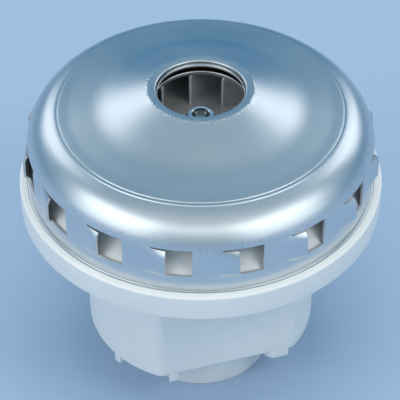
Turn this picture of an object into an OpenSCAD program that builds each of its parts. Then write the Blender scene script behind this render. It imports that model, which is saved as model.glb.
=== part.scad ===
// Bypass vacuum motor unit: drawn fan cover on a flanged bracket, motor housing on a round collar.
// Millimetres. +Z is the motor axis, z = 0 is the foot of the collar, -Y is the front.

/* [Fan cover] */
// outer radius of the cover's wall
cover_r = 68.1; // [68.0:0.05:68.2]
// sheet thickness
sheet_t = 0.9; // [0.8:0.05:0.9]
// radius of the rounded shoulder
shoulder_r = 16; // [15:0.5:17]
// radius of the crease between shoulder and cone
crease_r = 55.9; // [55.5:0.1:56.3]
// height of the crease
crease_z = 126.7; // [126.3:0.1:127.1]
// rise of the gentle outer cone per millimetre inwards
outer_slope = 0.141; // [0.12:0.005:0.16]
// middle radius of the soft bend where the outer cone turns into the steeper inner one
knee_r = 39.1; // [37:0.5:42]
// width of that bend
knee_w = 10.5; // [6:0.5:12]
// inner radius of the intake eye
eye_r = 16.9; // [16.5:0.1:17.2]
// outer radius of the eye's flat rim
eye_rim_r = 20.8; // [20:0.1:22]
// step up from the cone to the eye's rim
rim_step = 0.45; // [0.2:0.05:0.6]
// height of the eye's rim, the highest point
cover_top_z = 136.5; // [136:0.1:138]
// depth of the collar turned down inside the eye
eye_collar_h = 3.2; // [2:0.1:3.6]
// number of louvred discharge windows
window_n = 16; // [8:1:16]
// width of a window along the wall
window_w = 9.8; // [7:0.1:10]
// height of a window
window_h = 12.5; // [9:0.1:13]
// height of a window's lower edge
window_z = 101.8; // [101.5:0.1:102.5]
// how far a louvre stands out of the wall at its free edge
louvre_out = 2.1; // [1:0.1:2.6]
// angle of the window nearest the front
window_angle = -6.7; // [-11:0.1:11]

/* [Flange ring] */
// outer radius of the flange ring
ring_r = 72; // [72:0.1:74]
// lower edge of the flange ring
ring_z0 = 83.5; // [82:0.1:85]
// upper face of the flange ring
ring_z1 = 94.4; // [94.4:0.1:95]

/* [Motor housing] */
// radius of the housing's round sides
housing_r = 47.1; // [46.5:0.1:47.5]
// distance of each flat from the axis
flat_d = 37.5; // [37.4:0.1:38.5]
// direction of the front flat, measured from the front towards +X
flat_angle = 17.1; // [0:0.1:30]
// wall thickness of the housing
wall_t = 2.6; // [2:0.1:2.6]
// underside of the housing's floor, the height of the collar
floor_z = 21; // [20.8:0.1:21]
// outer radius of the collar
collar_r = 29; // [28.5:0.1:31]
// inner radius of the collar
collar_in_r = 25; // [24.6:0.1:25]
// length of the lugs below the floor
lug_h = 4.2; // [2:0.1:8]

/* [Impeller] */
// outer radius of the impeller
impeller_r = 59; // [57:0.5:60]
// number of blades
blade_n = 9; // [6:1:11]
// thickness of a blade
blade_t = 1; // [0.8:0.1:1.4]
// radius of the impeller's own eye
impeller_eye_r = 18; // [18:0.1:18.4]
// underside of the impeller's back plate
back_z = 113; // [112.5:0.1:113.5]
// upper edge of the front plate at its eye
front_eye_z = 129.7; // [129:0.1:130.5]
// upper edge of the front plate at its rim
front_rim_z = 120.5; // [119:0.1:121]
// direction of the first blade's leading edge
blade_angle = 63.8; // [0:0.1:40]

/* [Motor] */
// radius of the armature
armature_r = 21; // [20.5:0.1:21.2]
// number of armature slots and commutator bars
slot_n = 22; // [14:2:22]
// lower face of the lamination stacks
stack_z0 = 47; // [46.9:0.1:47.2]
// height of the lamination stacks
stack_h = 28; // [27.8:0.1:28]
// radius of the bearing seats on the shaft
seat_r = 4; // [4:0.01:4.01]
// radius of the shaft between its shoulders
shaft_r = 5; // [4.8:0.1:5]
// radius of the commutator
commutator_r = 12.5; // [12:0.1:12.5]

/* [Brushes] */
// width of a carbon brush
brush_w = 6.2; // [5:0.1:6.2]
// height of a carbon brush
brush_h = 8.9; // [7:0.1:8.9]
// height of the brush axis
brush_z = 32.5; // [32.4:0.1:32.6]
// distance from the axis to the outer end of a brush
brush_end = 32; // [28:0.5:32]

/* [Hidden] */
$fn = 96;
gap = 0.03;

seat_z = 93.4;                       // ledge in the flange ring that carries the cover's hem
web_z = 90.9;                        // underside of the bracket's web, top of the housing's flange
hem_r = 68.7;                        // outer radius of the hem
shoulder_x = cover_r - shoulder_r;   // centre of the shoulder's arc
shoulder_a = acos((crease_r - shoulder_x) / shoulder_r);
shoulder_z = crease_z - shoulder_r * sin(shoulder_a);
deck_z = 110.5;                      // upper face of the bracket's deck
deck_r = 57.5;                       // where the deck starts to slope down
spigot_r = cover_r - sheet_t - 0.1;  // spigot inside the cover's wall
ramp_z = 100.6;                      // foot of the slope
stack_z1 = stack_z0 + stack_h;
low_z = 5.8;                         // lower face of the lower bearing
up_z = 94.2;                         // lower face of the upper bearing
bearing_w = 7;
plate_z = back_z + 1;                // upper face of the impeller's back plate
front_slope = (front_eye_z - front_rim_z) / (59 - impeller_eye_r);
nut_z = 119.4;                       // underside of the impeller nut
screw_x = 20; screw_y = 44;          // bracket screws, outside the flats
post = 28.5;                         // stator posts, in the housing's corners

// ---------- helpers ----------
module ring(ro, ri, z0, z1) { rotate_extrude() translate([ri, z0]) square([ro - ri, z1 - z0]); }
module dd(r, f) { intersection() { circle(r); square([3 * r, 2 * f], center = true); } }
module turned() { rotate([0, 0, flat_angle]) children(); }
module left() { rotate([0, 0, 180]) children(); }
module along_x(x0, x1) { translate([x0, 0, 0]) rotate([90, 0, 90]) linear_extrude(x1 - x0) children(); }
module bevelled(y, z0, z1, c) {
  polygon([[-y + c, z0], [y - c, z0], [y, z0 + c], [y, z1 - c], [y - c, z1], [-y + c, z1], [-y, z1 - c], [-y, z0 + c]]);
}
module screw(head_r, head_h, r, len) { cylinder(r = head_r, h = head_h); translate([0, 0, head_h]) cylinder(r = r, h = len); }

function unit(v) = v / norm(v);
function tangent(p, i) = unit(p[min(i + 1, len(p) - 1)] - p[max(i - 1, 0)]);
module sweep(p, r, ref, n = 8) {
  k = len(p);
  pts = [for (i = [0:k - 1]) let (t = tangent(p, i), u = unit(cross(t, ref)), v = cross(t, u))
    for (j = [0:n - 1]) p[i] + r * (cos(360 * j / n) * u + sin(360 * j / n) * v)];
  sides = [for (i = [0:k - 2]) for (j = [0:n - 1]) let (a = i * n + j, b = i * n + (j + 1) % n) each [[a, b, b + n], [a, b + n, a + n]]];
  caps = [[for (j = [0:n - 1]) n - 1 - j], [for (j = [0:n - 1]) (k - 1) * n + j]];
  polyhedron(points = pts, faces = concat(sides, caps));
}
module helix(x0, x1, rc, r, turns, n = 8, seg = 12) {
  k = turns * seg;
  pitch = (x1 - x0) / turns;
  pts = [for (i = [0:k]) let (a = 360 * i / seg, nr = [0, cos(a), sin(a)],
      t = unit([pitch, -2 * PI * rc * sin(a), 2 * PI * rc * cos(a)]), b = cross(t, nr))
    for (j = [0:n - 1]) [x0 + (x1 - x0) * i / k, 0, brush_z] + rc * nr + r * (cos(360 * j / n) * nr + sin(360 * j / n) * b)];
  sides = [for (i = [0:k - 1]) for (j = [0:n - 1]) let (a = i * n + j, b = i * n + (j + 1) % n) each [[a, b + n, b], [a, a + n, b + n]]];
  caps = [[for (j = [0:n - 1]) j], [for (j = [0:n - 1]) k * n + n - 1 - j]];
  polyhedron(points = pts, faces = concat(sides, caps));
}

// ---------- fan cover ----------
function polar(a, r) = [r * sin(a), -r * cos(a)];
function louvre_rise(a) = louvre_out * pow(max(0, min(1, (a + 13) / 8.7)), 1.6);
foot_r = eye_rim_r + 0.5;
knee_gain = (cover_top_z - rim_step - crease_z - outer_slope * (crease_r - foot_r)) / (knee_r - foot_r);
function knee_part(r) = r >= knee_r + knee_w / 2 ? 0 : r <= knee_r - knee_w / 2 ? knee_r - r : pow(knee_r + knee_w / 2 - r, 2) / (2 * knee_w);
function cone_z(r) = crease_z + outer_slope * (crease_r - r) + knee_gain * knee_part(r);
module cover_section() {
  t = sheet_t;
  turns = [for (k = [0:5]) knee_r + knee_w * (0.5 - k / 5)];
  translate([cover_r - t, seat_z]) square([hem_r - cover_r + t, t]);
  translate([cover_r - t, seat_z]) square([t, shoulder_z - seat_z]);
  translate([shoulder_x, shoulder_z]) intersection() {
    difference() { circle(shoulder_r); circle(shoulder_r - t); }
    polygon([[0, 0], [60, 0], [60, 60], [60 / tan(shoulder_a), 60]]);
  }
  polygon(concat([[shoulder_x + shoulder_r * cos(shoulder_a), crease_z]], [for (r = turns) [r, cone_z(r)]], [[foot_r, cone_z(foot_r)], [eye_rim_r, cover_top_z]],
    [[eye_rim_r, cover_top_z - t - 0.1], [foot_r, cone_z(foot_r) - t]], [for (k = [5:-1:0]) [turns[k], cone_z(turns[k]) - t]],
    [[shoulder_x + (shoulder_r - t) * cos(shoulder_a), shoulder_z + (shoulder_r - t) * sin(shoulder_a)]]));
  translate([eye_r, cover_top_z - t]) square([eye_rim_r - eye_r, t]);
  translate([eye_r, cover_top_z - eye_collar_h]) square([t, eye_collar_h]);
}
module louvre_skin() {
  steps = [-11.5, -10, -8.5, -7, -5.6, -4.3, -3.4];
  intersection() {
    polygon(concat([polar(-13.2, cover_r - 0.3)], [for (a = steps) polar(a, cover_r + louvre_rise(a))], [polar(-3.4, cover_r - sheet_t / 2), polar(-13.2, cover_r - sheet_t / 2)]));
    translate([-60, -100]) square([60 - window_w / 2 - 0.1, 100]);
  }
}
module louvre_hollow() {
  steps = [-11.5, -10, -8.5, -7, -5.6, -4.3, -3.4];
  r = cover_r - sheet_t;
  polygon(concat([polar(-13.2, r - 0.3)], [for (a = steps) polar(a, r + louvre_rise(a))], [polar(-3.4, r - 4), polar(-13.2, r - 4)]));
}
module fan_cover() {
  color("silver") difference() {
    union() {
      difference() {
        rotate_extrude() cover_section();
        for (k = [0:window_n - 1]) rotate([0, 0, window_angle + k * 360 / window_n])
          translate([-window_w / 2 - 0.3, -cover_r - 2, window_z]) cube([window_w + 0.3, 5, window_h]);
      }
      for (k = [0:window_n - 1]) rotate([0, 0, window_angle + k * 360 / window_n])
        translate([0, 0, window_z - 0.4]) linear_extrude(window_h - 0.5) louvre_skin();
    }
    for (k = [0:window_n - 1]) rotate([0, 0, window_angle + k * 360 / window_n])
      translate([0, 0, window_z + sheet_t - 0.4]) linear_extrude(window_h - sheet_t + 0.1) louvre_hollow();
  }
}

// ---------- bracket and housing ----------
module fan_bracket() {
  color("white") difference() {
    union() {
      rotate_extrude() polygon([[ring_r - 0.3, ring_z0], [ring_r, ring_z0 + 0.3], [ring_r, ring_z1 - 0.5], [ring_r - 0.5, ring_z1],
        [68.9, ring_z1], [68.9, seat_z], [spigot_r, seat_z], [spigot_r, ramp_z], [deck_r, deck_z], [8.7, deck_z],
        [8.7, 102], [11 + gap, 102], [11 + gap, up_z], [15.5, up_z], [15.5, deck_z - 2.6], [deck_r - 1.2, deck_z - 2.6],
        [spigot_r - 2.5, ramp_z - 0.9], [spigot_r - 2.5, seat_z], [43, seat_z], [43, web_z], [69.4, web_z], [69.4, ring_z0]]);
      for (k = [0:7]) rotate([0, 0, k * 45 + 22.5]) rotate([90, 0, 0]) translate([0, 0, -1]) linear_extrude(2)
        polygon([[15, 98], [15, 109], [56.9, 109.2], [65.8, 100.2], [65.8, 93], [46, 93]]);
      turned() {
        for (sx = [-1, 1], sy = [-1, 1]) translate([sx * screw_x, sy * screw_y, 92]) cylinder(r = 3.8, h = 17);
        for (sx = [-1, 1]) translate([sx * 18.5, 0, up_z + 0.3]) cylinder(r = 4, h = 14.2);
      }
    }
    rotate_extrude() polygon([[0, up_z - 1], [11 + gap, up_z - 1], [11 + gap, 102], [8.7, 102], [8.7, deck_z + 1], [0, deck_z + 1]]);
    turned() {
      for (sx = [-1, 1], sy = [-1, 1]) translate([sx * screw_x, sy * screw_y, 89]) cylinder(r = 1.9, h = 14);
      for (sx = [-1, 1]) translate([sx * 18.5, 0, up_z - 1]) cylinder(r = 1.3, h = 11);
    }
  }
}
module lugs() {
  for (s = [0, 180]) rotate([0, 0, s]) {
    translate([-24.8, -flat_d, floor_z - lug_h]) cube([3.6, 2.2, lug_h + 1]);
    translate([21.5, -flat_d + 5, floor_z - lug_h]) cylinder(r = 4.9, h = lug_h + 1);
    translate([21.5, -flat_d + 0.3, floor_z - lug_h]) cube([5.9, 9.4, lug_h + 1]);
    rotate([0, 0, -64.7]) translate([-1.6, -housing_r + 0.3, floor_z - lug_h]) cube([3.2, 2.2, lug_h + 1]);
  }
}
module motor_housing() {
  color("whitesmoke") turned() difference() {
    union() {
      difference() {
        union() {
          translate([0, 0, floor_z]) linear_extrude(web_z - 2 - floor_z) dd(housing_r, flat_d);
          translate([0, 0, web_z - 3]) cylinder(r = 61, h = 3);
          cylinder(r = collar_r, h = floor_z + 1);
          lugs();
        }
        translate([0, 0, floor_z + 3]) linear_extrude(80) dd(housing_r - wall_t, flat_d - wall_t);
        translate([0, 0, -1]) cylinder(r = collar_in_r, h = floor_z + 6);
        for (x = [-18, -9, 0, 9, 18]) translate([x - 2.5, -60, 76]) cube([5, 120, 9.5]);
        translate([-11, 30, 30]) cube([22, 12, 9]);
      }
      difference() {
        translate([0, 0, 2.5]) cylinder(r = 16.5, h = 12);
        translate([0, 0, 4.5]) cylinder(r = 13 + gap, h = 12);
      }
      for (k = [0:3]) rotate([0, 0, 45 + k * 90]) translate([15.5, -1.5, 3]) cube([collar_in_r - 15, 3, 11]);
      for (sx = [-1, 1], sy = [-1, 1]) translate([sx * post, sy * post, floor_z + 2]) cylinder(r = 3.2, h = stack_z0 - floor_z - 2);
    }
    for (s = [-1, 1]) translate([s * post, s * post, 31]) cylinder(r = 1.95, h = 20);
    for (sx = [-1, 1], sy = [-1, 1]) {
      translate([sx * 25.5, sy * 9, 15]) cylinder(r = 1.3, h = 12);
      translate([sx * screw_x, sy * screw_y, web_z - 5]) cylinder(r = 2.1, h = 8);
    }
  }
}
module bracket_screws() {
  color("dimgray") turned() for (sx = [-1, 1], sy = [-1, 1]) translate([sx * screw_x, sy * screw_y, web_z - 5.4]) screw(3.5, 2.4, 1.87, 14);
}

// ---------- stator ----------
module stator_core() {
  color("slategray") turned() translate([0, 0, stack_z0]) linear_extrude(stack_h) difference() {
    dd(housing_r - wall_t - 0.3, flat_d - wall_t - 0.3);
    circle(armature_r + 0.6);
    difference() {
      dd(36.5, 28.5);
      for (s = [-1, 1]) {
        translate([s * 30 - 15, -11.5]) square([30, 23]);
        intersection() { circle(25.2); polygon([[s * 5, 5 * tan(60)], [s * 30, 30 * tan(60)], [s * 30, -30 * tan(60)], [s * 5, -5 * tan(60)]]); }
      }
    }
    for (sx = [-1, 1], sy = [-1, 1]) translate([sx * post, sy * post]) circle(2.1);
  }
}
module coil() {
  along_x(26, 31) difference() { bevelled(17.5, 40, 82, 4); bevelled(12.5, stack_z0 - 1, stack_z1 + 1, 0.8); }
}
module field_coil_right() { color("peru") turned() coil(); }
module field_coil_left() { color("peru") turned() left() coil(); }
module bobbin() {
  difference() {
    union() {
      along_x(25.95, 31.05) bevelled(12.4, stack_z0 - 0.9, stack_z1 + 0.9, 0.7);
      along_x(25.3, 25.95) bevelled(17, 41, 81, 4);
      along_x(31.05, 31.7) bevelled(17, 41, 81, 4);
    }
    translate([20, -11.6, stack_z0 - 0.1]) cube([20, 23.2, stack_h + 0.2]);
  }
}
module coil_bobbin_right() { color("khaki") turned() bobbin(); }
module coil_bobbin_left() { color("khaki") turned() left() bobbin(); }
module stator_screws() {
  color("dimgray") turned() for (s = [-1, 1]) translate([s * post, s * post, stack_z1 + 3]) mirror([0, 0, 1]) screw(3.4, 3, 1.92, 43);
}

// ---------- bearings ----------
module bearing_outer(z) { rotate_extrude() difference() { translate([8.9, z]) square([2.1, bearing_w]); translate([7.5, z + bearing_w / 2]) circle(2.05); } }
module bearing_inner(z) { rotate_extrude() difference() { translate([seat_r + 0.02, z]) square([2.18, bearing_w]); translate([7.5, z + bearing_w / 2]) circle(2.05); } }
module bearing_balls(z) { for (k = [0:6]) rotate([0, 0, k * 360 / 7]) translate([7.5, 0, z + bearing_w / 2]) sphere(r = 1.98); }
module bearing_cage(z) {
  difference() {
    ring(8.1, 6.9, z + bearing_w / 2 - 2.7, z + bearing_w / 2 + 1);
    for (k = [0:6]) rotate([0, 0, k * 360 / 7]) translate([7.5, 0, z + bearing_w / 2]) sphere(r = 2.08);
  }
}
module bearing_shields(z) { ring(8.87, 6.5, z + 0.15, z + 0.5); ring(8.87, 6.5, z + bearing_w - 0.5, z + bearing_w - 0.15); }
module upper_bearing_outer_ring() { color("gainsboro") bearing_outer(up_z); }
module upper_bearing_inner_ring() { color("gainsboro") bearing_inner(up_z); }
module upper_bearing_balls() { color("silver") bearing_balls(up_z); }
module upper_bearing_cage() { color("goldenrod") bearing_cage(up_z); }
module upper_bearing_shields() { color("lightgray") bearing_shields(up_z); }
module lower_bearing_outer_ring() { color("gainsboro") bearing_outer(low_z); }
module lower_bearing_inner_ring() { color("gainsboro") bearing_inner(low_z); }
module lower_bearing_balls() { color("silver") bearing_balls(low_z); }
module lower_bearing_cage() { color("goldenrod") bearing_cage(low_z); }
module lower_bearing_shields() { color("lightgray") bearing_shields(low_z); }
module bearing_preload_spring() { color("gray") rotate_extrude() polygon([[8.9, 101.6], [10.9, 101.2], [10.9, 101.6], [8.9, 102]]); }
module bearing_clamp() {
  color("silver") turned() difference() {
    union() {
      translate([0, 0, up_z - 1.3]) cylinder(r = 15.4, h = 1.3);
      for (s = [-1, 1]) translate([s * 18.5, 0, up_z - 1.3]) cylinder(r = 3.9, h = 1.3);
    }
    translate([0, 0, up_z - 2]) cylinder(r = 9.3, h = 3);
    for (s = [-1, 1]) translate([s * 18.5, 0, up_z - 2]) cylinder(r = 1.6, h = 3);
  }
}
module bearing_clamp_screws() { color("dimgray") turned() for (s = [-1, 1]) translate([s * 18.5, 0, up_z - 3.3]) screw(2.8, 2, 1.27, 10); }
module lower_bearing_boot() { color("#222222") rotate_extrude() polygon([[7, 4.5], [13, 4.5], [13, 13.2], [11 + gap, 13.2], [11 + gap, low_z], [7, low_z]]); }
module shaft_seal() { color("beige") ring(8.65, 7.08, 104, 109); }

// ---------- brush gear ----------
module holder() {
  difference() {
    union() {
      translate([17, -6.2, floor_z + 3]) cube([17, 12.4, 15.2]);
      translate([20.5, -11.8, floor_z + 3]) cube([10, 23.6, 3]);
    }
    translate([10, -3.8, brush_z - 5.15]) cube([30, 7.6, 10.3]);
    for (s = [-1, 1]) translate([25.5, s * 9, floor_z]) cylinder(r = 1.6, h = 10);
  }
}
module tube() {
  difference() {
    translate([13.7, -3.75, brush_z - 5.1]) cube([28.3, 7.5, 10.2]);
    translate([10, -3.25, brush_z - 4.6]) cube([31.5, 6.5, 9.2]);
  }
}
module brush() {
  difference() {
    translate([8, -brush_w / 2, brush_z - brush_h / 2]) cube([brush_end - 8, brush_w, brush_h]);
    translate([0, 0, brush_z - 10]) cylinder(r = commutator_r + 0.05, h = 20);
  }
}
module brush_spring() { helix(brush_end + 0.4, 41.1, 2.4, 0.35, 6); }
module brush_holder_right() { color("#303030") turned() holder(); }
module brush_holder_left() { color("#303030") turned() left() holder(); }
module brush_tube_right() { color("gold") turned() tube(); }
module brush_tube_left() { color("gold") turned() left() tube(); }
module carbon_brush_right() { color("#404040") turned() brush(); }
module carbon_brush_left() { color("#404040") turned() left() brush(); }
module brush_spring_right() { color("gray") turned() brush_spring(); }
module brush_spring_left() { color("gray") turned() left() brush_spring(); }
module brush_holder_screws() {
  color("dimgray") turned() for (sx = [-1, 1], sy = [-1, 1]) translate([sx * 25.5, sy * 9, floor_z + 8]) mirror([0, 0, 1]) screw(2.7, 2, 1.27, 11);
}

// ---------- terminals and leads ----------
module terminal_block() {
  color("#2a2a2a") turned() difference() {
    union() {
      translate([-10.9, flat_d - wall_t - 0.6, 30.1]) cube([21.8, 4, 8.8]);
      translate([-13, flat_d, 27]) cube([26, 9, 14]);
    }
    for (s = [-1, 1]) translate([s * 6.5 - 3.2, 30, 34.1]) cube([6.4, 13, 0.9]);
    for (s = [-1, 1]) translate([s * 6.5 - 3.2, 42.1, 20]) cube([6.4, 0.9, 15]);
  }
}
module terminal_tabs() {
  color("gold") turned() for (s = [-1, 1]) difference() {
    union() {
      translate([s * 6.5 - 3.15, 33, 34.15]) cube([6.3, 9.95, 0.8]);
      translate([s * 6.5 - 3.15, 42.15, 18]) cube([6.3, 0.8, 16.95]);
    }
    translate([s * 6.5, 50, 21.5]) rotate([90, 0, 0]) cylinder(r = 0.8, h = 20);
  }
}
module supply_lead() { sweep([[6.5, 33, 34.55], [6.5, 31, 34.55], [8.5, 28.5, 35], [13, 25.5, 36], [19, 21, 36.6], [24, 17, 37], [27, 15.4, 38], [28, 15, 39], [28, 15, 40]], 0.95, [1, 0.37, 0.21]); }
module brush_lead() { sweep([[28, -15, 40], [28, -15, 39], [28.6, -15, 37], [30.5, -14, 34.5], [34, -11.6, 33], [37, -8.4, 32.6], [38, -6, 32.5], [38, -3.75, 32.5]], 0.95, [1, 0.37, 0.61]); }
module supply_leads() { color("firebrick") turned() { supply_lead(); mirror([1, 0, 0]) supply_lead(); } }
module brush_leads() { color("navy") turned() { brush_lead(); mirror([1, 0, 0]) brush_lead(); } }

// ---------- rotor ----------
module shaft() {
  color("lightsteelblue") rotate_extrude() polygon([[0, 5], [seat_r - 0.5, 5], [seat_r, 5.5], [seat_r, low_z + bearing_w], [shaft_r, low_z + bearing_w],
    [shaft_r, up_z], [seat_r, up_z], [seat_r, nut_z - 1], [3, nut_z - 1], [3, nut_z + 4.8], [2.4, nut_z + 5.4], [0, nut_z + 5.6]]);
}
module armature_core() {
  color("slategray") translate([0, 0, stack_z0]) linear_extrude(stack_h) difference() {
    circle(armature_r);
    circle(shaft_r + 0.02);
    for (k = [0:slot_n - 1]) rotate(k * 360 / slot_n) { translate([17, 0]) circle(1.5); translate([17, -0.8]) square([6, 1.6]); }
  }
}
module end_turns() { polygon([[10, 0], [19, 0], [20.2, 1.2], [20.2, 3.6], [18.4, 5.6], [13.5, 6.1], [10, 5]]); }
module armature_winding() {
  color("chocolate") union() {
    rotate_extrude() translate([0, stack_z1 + 0.3]) end_turns();
    rotate_extrude() translate([0, stack_z0 - 0.3]) mirror([0, 1]) end_turns();
    for (k = [0:slot_n - 1]) rotate([0, 0, k * 360 / slot_n]) translate([17, 0, stack_z0 - 2]) cylinder(r = 1.4, h = stack_h + 4);
  }
}
module commutator_hub() { color("saddlebrown") ring(9.3, shaft_r + 0.02, 24.6, 40.2); }
module commutator_bars() {
  color("orange") difference() {
    rotate_extrude() polygon([[9.32, 25.4], [commutator_r, 25.4], [commutator_r, 38.3], [13.9, 38.3], [13.9, 40], [9.32, 40]]);
    for (k = [0:slot_n - 1]) rotate([0, 0, (k + 0.5) * 360 / slot_n]) translate([8, -0.25, 24]) cube([8, 0.5, 18]);
  }
}
module cooling_fan() {
  color("#353535") union() {
    ring(9, shaft_r + 0.02, 82.4, 90.2);
    ring(32.5, 8.5, 88.4, 89.6);
    for (k = [0:11]) rotate([0, 0, k * 30]) translate([15, -0.7, 83.6]) cube([17.3, 1.4, 5.2]);
  }
}
module impeller_spacer() { color("silver") ring(7, seat_r + 0.02, up_z + bearing_w, back_z); }
module impeller_back_plate() { color("gray") ring(impeller_r, seat_r + 0.02, back_z, plate_z); }
function under_front(r) = front_eye_z - 0.94 - (r - impeller_eye_r) * front_slope;
module blade() {
  intersection() {
    translate([-29, -36.4]) difference() { circle(60 + blade_t / 2); circle(60 - blade_t / 2); }
    difference() { circle(impeller_r - 0.5); circle(impeller_eye_r + 0.6); }
    polygon([[0, 5], [70, 5], [70, -75], [8, -75], [8, -12]]);
  }
}
module impeller_blades() {
  color("dimgray") intersection() {
    translate([0, 0, plate_z]) linear_extrude(20) for (k = [0:blade_n - 1]) rotate(blade_angle + k * 360 / blade_n) blade();
    rotate_extrude() polygon([[10, plate_z - 1], [60, plate_z - 1], [60, under_front(60)], [10, under_front(10)]]);
  }
}
module impeller_front_plate() {
  color("gray") rotate_extrude() polygon([[impeller_eye_r, front_eye_z], [impeller_r, front_eye_z - (impeller_r - impeller_eye_r) * front_slope],
    [impeller_r, front_eye_z - 0.9 - (impeller_r - impeller_eye_r) * front_slope], [impeller_eye_r, front_eye_z - 0.9]]);
}
module impeller_bush() { color("silver") ring(8, seat_r + 0.02, plate_z, nut_z - 1); }
module impeller_washer() { color("lightgray") ring(6.6, 3.1, nut_z - 1, nut_z); }
module impeller_nut() {
  color("lightgray") difference() {
    intersection() {
      translate([0, 0, nut_z]) cylinder(r = 5.77, h = 4.4, $fn = 6);
      rotate_extrude() polygon([[0, nut_z], [5.9, nut_z], [5.9, nut_z + 3.8], [4.9, nut_z + 4.4], [0, nut_z + 4.4]]);
    }
    translate([0, 0, nut_z - 1]) cylinder(r = 3.02, h = 8);
  }
}

fan_cover();
fan_bracket();
motor_housing();
bracket_screws();
stator_core();
field_coil_left();
field_coil_right();
coil_bobbin_left();
coil_bobbin_right();
stator_screws();
upper_bearing_outer_ring();
upper_bearing_inner_ring();
upper_bearing_balls();
upper_bearing_cage();
upper_bearing_shields();
lower_bearing_outer_ring();
lower_bearing_inner_ring();
lower_bearing_balls();
lower_bearing_cage();
lower_bearing_shields();
bearing_preload_spring();
bearing_clamp();
bearing_clamp_screws();
lower_bearing_boot();
shaft_seal();
brush_holder_left();
brush_holder_right();
brush_tube_left();
brush_tube_right();
carbon_brush_left();
carbon_brush_right();
brush_spring_left();
brush_spring_right();
brush_holder_screws();
terminal_block();
terminal_tabs();
supply_leads();
brush_leads();
shaft();
armature_core();
armature_winding();
commutator_hub();
commutator_bars();
cooling_fan();
impeller_spacer();
impeller_back_plate();
impeller_blades();
impeller_front_plate();
impeller_bush();
impeller_washer();
impeller_nut();
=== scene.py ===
import math
import bmesh
import bpy
from mathutils import Matrix, Vector


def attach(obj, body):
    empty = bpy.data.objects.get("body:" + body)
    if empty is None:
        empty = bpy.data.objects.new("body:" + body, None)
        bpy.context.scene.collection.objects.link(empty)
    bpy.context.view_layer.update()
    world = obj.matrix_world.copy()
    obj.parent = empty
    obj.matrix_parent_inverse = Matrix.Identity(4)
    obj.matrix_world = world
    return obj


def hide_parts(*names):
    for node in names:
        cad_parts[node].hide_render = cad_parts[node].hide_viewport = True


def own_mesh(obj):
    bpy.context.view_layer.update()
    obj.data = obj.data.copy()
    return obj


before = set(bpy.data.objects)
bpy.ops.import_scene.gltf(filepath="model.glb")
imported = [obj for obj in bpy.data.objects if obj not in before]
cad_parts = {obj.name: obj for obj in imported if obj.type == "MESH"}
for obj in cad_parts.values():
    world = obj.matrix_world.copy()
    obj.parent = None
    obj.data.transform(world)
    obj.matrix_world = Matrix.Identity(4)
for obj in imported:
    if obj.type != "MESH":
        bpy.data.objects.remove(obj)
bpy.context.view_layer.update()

MM = 0.001
TURN = math.radians(17.1)          # the housing's flats are turned by this about the motor axis
scene = bpy.context.scene
scene.view_settings.view_transform = "Standard"


# ------------------------------------------------------------------ materials
class Mat:
    """A node material with one principled shader; the helpers add procedural detail to it."""

    def __init__(self, name, metallic=0.0, specular=0.5, ior=1.45, coat=0.0, coat_rough=0.1):
        self.mat = bpy.data.materials.new(name)
        self.mat.use_nodes = True
        self.t = self.mat.node_tree
        self.b = self.t.nodes["Principled BSDF"]
        self.b.inputs["Metallic"].default_value = metallic
        self.b.inputs["IOR"].default_value = ior
        self.b.inputs["Specular IOR Level"].default_value = specular
        self.b.inputs["Coat Weight"].default_value = coat
        self.b.inputs["Coat Roughness"].default_value = coat_rough
        self.coord = self.t.nodes.new("ShaderNodeTexCoord")
        self.height = None

    def node(self, kind, **values):
        n = self.t.nodes.new(kind)
        for k, v in values.items():
            if k in n.inputs:
                n.inputs[k].default_value = v
            else:
                setattr(n, k, v)
        return n

    def link(self, a, b):
        self.t.links.new(a, b)

    def mapped(self, scale, rot=(0, 0, 0)):
        m = self.node("ShaderNodeMapping")
        m.inputs["Scale"].default_value = scale
        m.inputs["Rotation"].default_value = rot
        self.link(self.coord.outputs["Object"], m.inputs["Vector"])
        return m.outputs["Vector"]

    def noise(self, scale, detail=4.0, rough=0.55, stretch=None, rot=(0, 0, 0)):
        n = self.node("ShaderNodeTexNoise", Scale=scale, Detail=detail, Roughness=rough)
        self.link(self.mapped(stretch or (1, 1, 1), rot), n.inputs["Vector"])
        return n.outputs["Fac"]

    def ramp(self, value, p0, p1, c0, c1, mid=None):
        r = self.node("ShaderNodeValToRGB")
        e = r.color_ramp.elements
        e[0].position, e[1].position = p0, p1
        e[0].color, e[1].color = (*c0, 1), (*c1, 1)
        if mid:
            x = r.color_ramp.elements.new(mid[0])
            x.color = (*mid[1], 1)
        self.link(value, r.inputs["Fac"])
        return r.outputs["Color"]

    def fit(self, value, a0, a1, b0, b1):
        m = self.node("ShaderNodeMapRange", clamp=True)
        for k, v in zip(("From Min", "From Max", "To Min", "To Max"), (a0, a1, b0, b1)):
            m.inputs[k].default_value = v
        self.link(value, m.inputs["Value"])
        return m.outputs["Result"]

    def math(self, op, a, b):
        m = self.node("ShaderNodeMath", operation=op)
        for i, x in enumerate((a, b)):
            if hasattr(x, "is_linked"):
                self.link(x, m.inputs[i])
            else:
                m.inputs[i].default_value = x
        return m.outputs[0]

    def mix(self, fac, a, b, mode="MIX"):
        m = self.node("ShaderNodeMix", data_type="RGBA", blend_type=mode)
        for i, x in ((0, fac), (6, a), (7, b)):
            if hasattr(x, "is_linked"):
                self.link(x, m.inputs[i])
            else:
                m.inputs[i].default_value = x if i == 0 else (*x, 1)
        return m.outputs[2]

    def colour(self, value):
        self.link(value, self.b.inputs["Base Color"])

    def rough(self, value):
        self.link(value, self.b.inputs["Roughness"])

    def bump(self, value, distance, strength=1.0):
        n = self.node("ShaderNodeBump", Strength=strength, Distance=distance)
        self.link(value, n.inputs["Height"])
        if self.height:
            self.link(self.height, n.inputs["Normal"])
        self.height = n.outputs["Normal"]
        self.link(self.height, self.b.inputs["Normal"])


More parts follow.
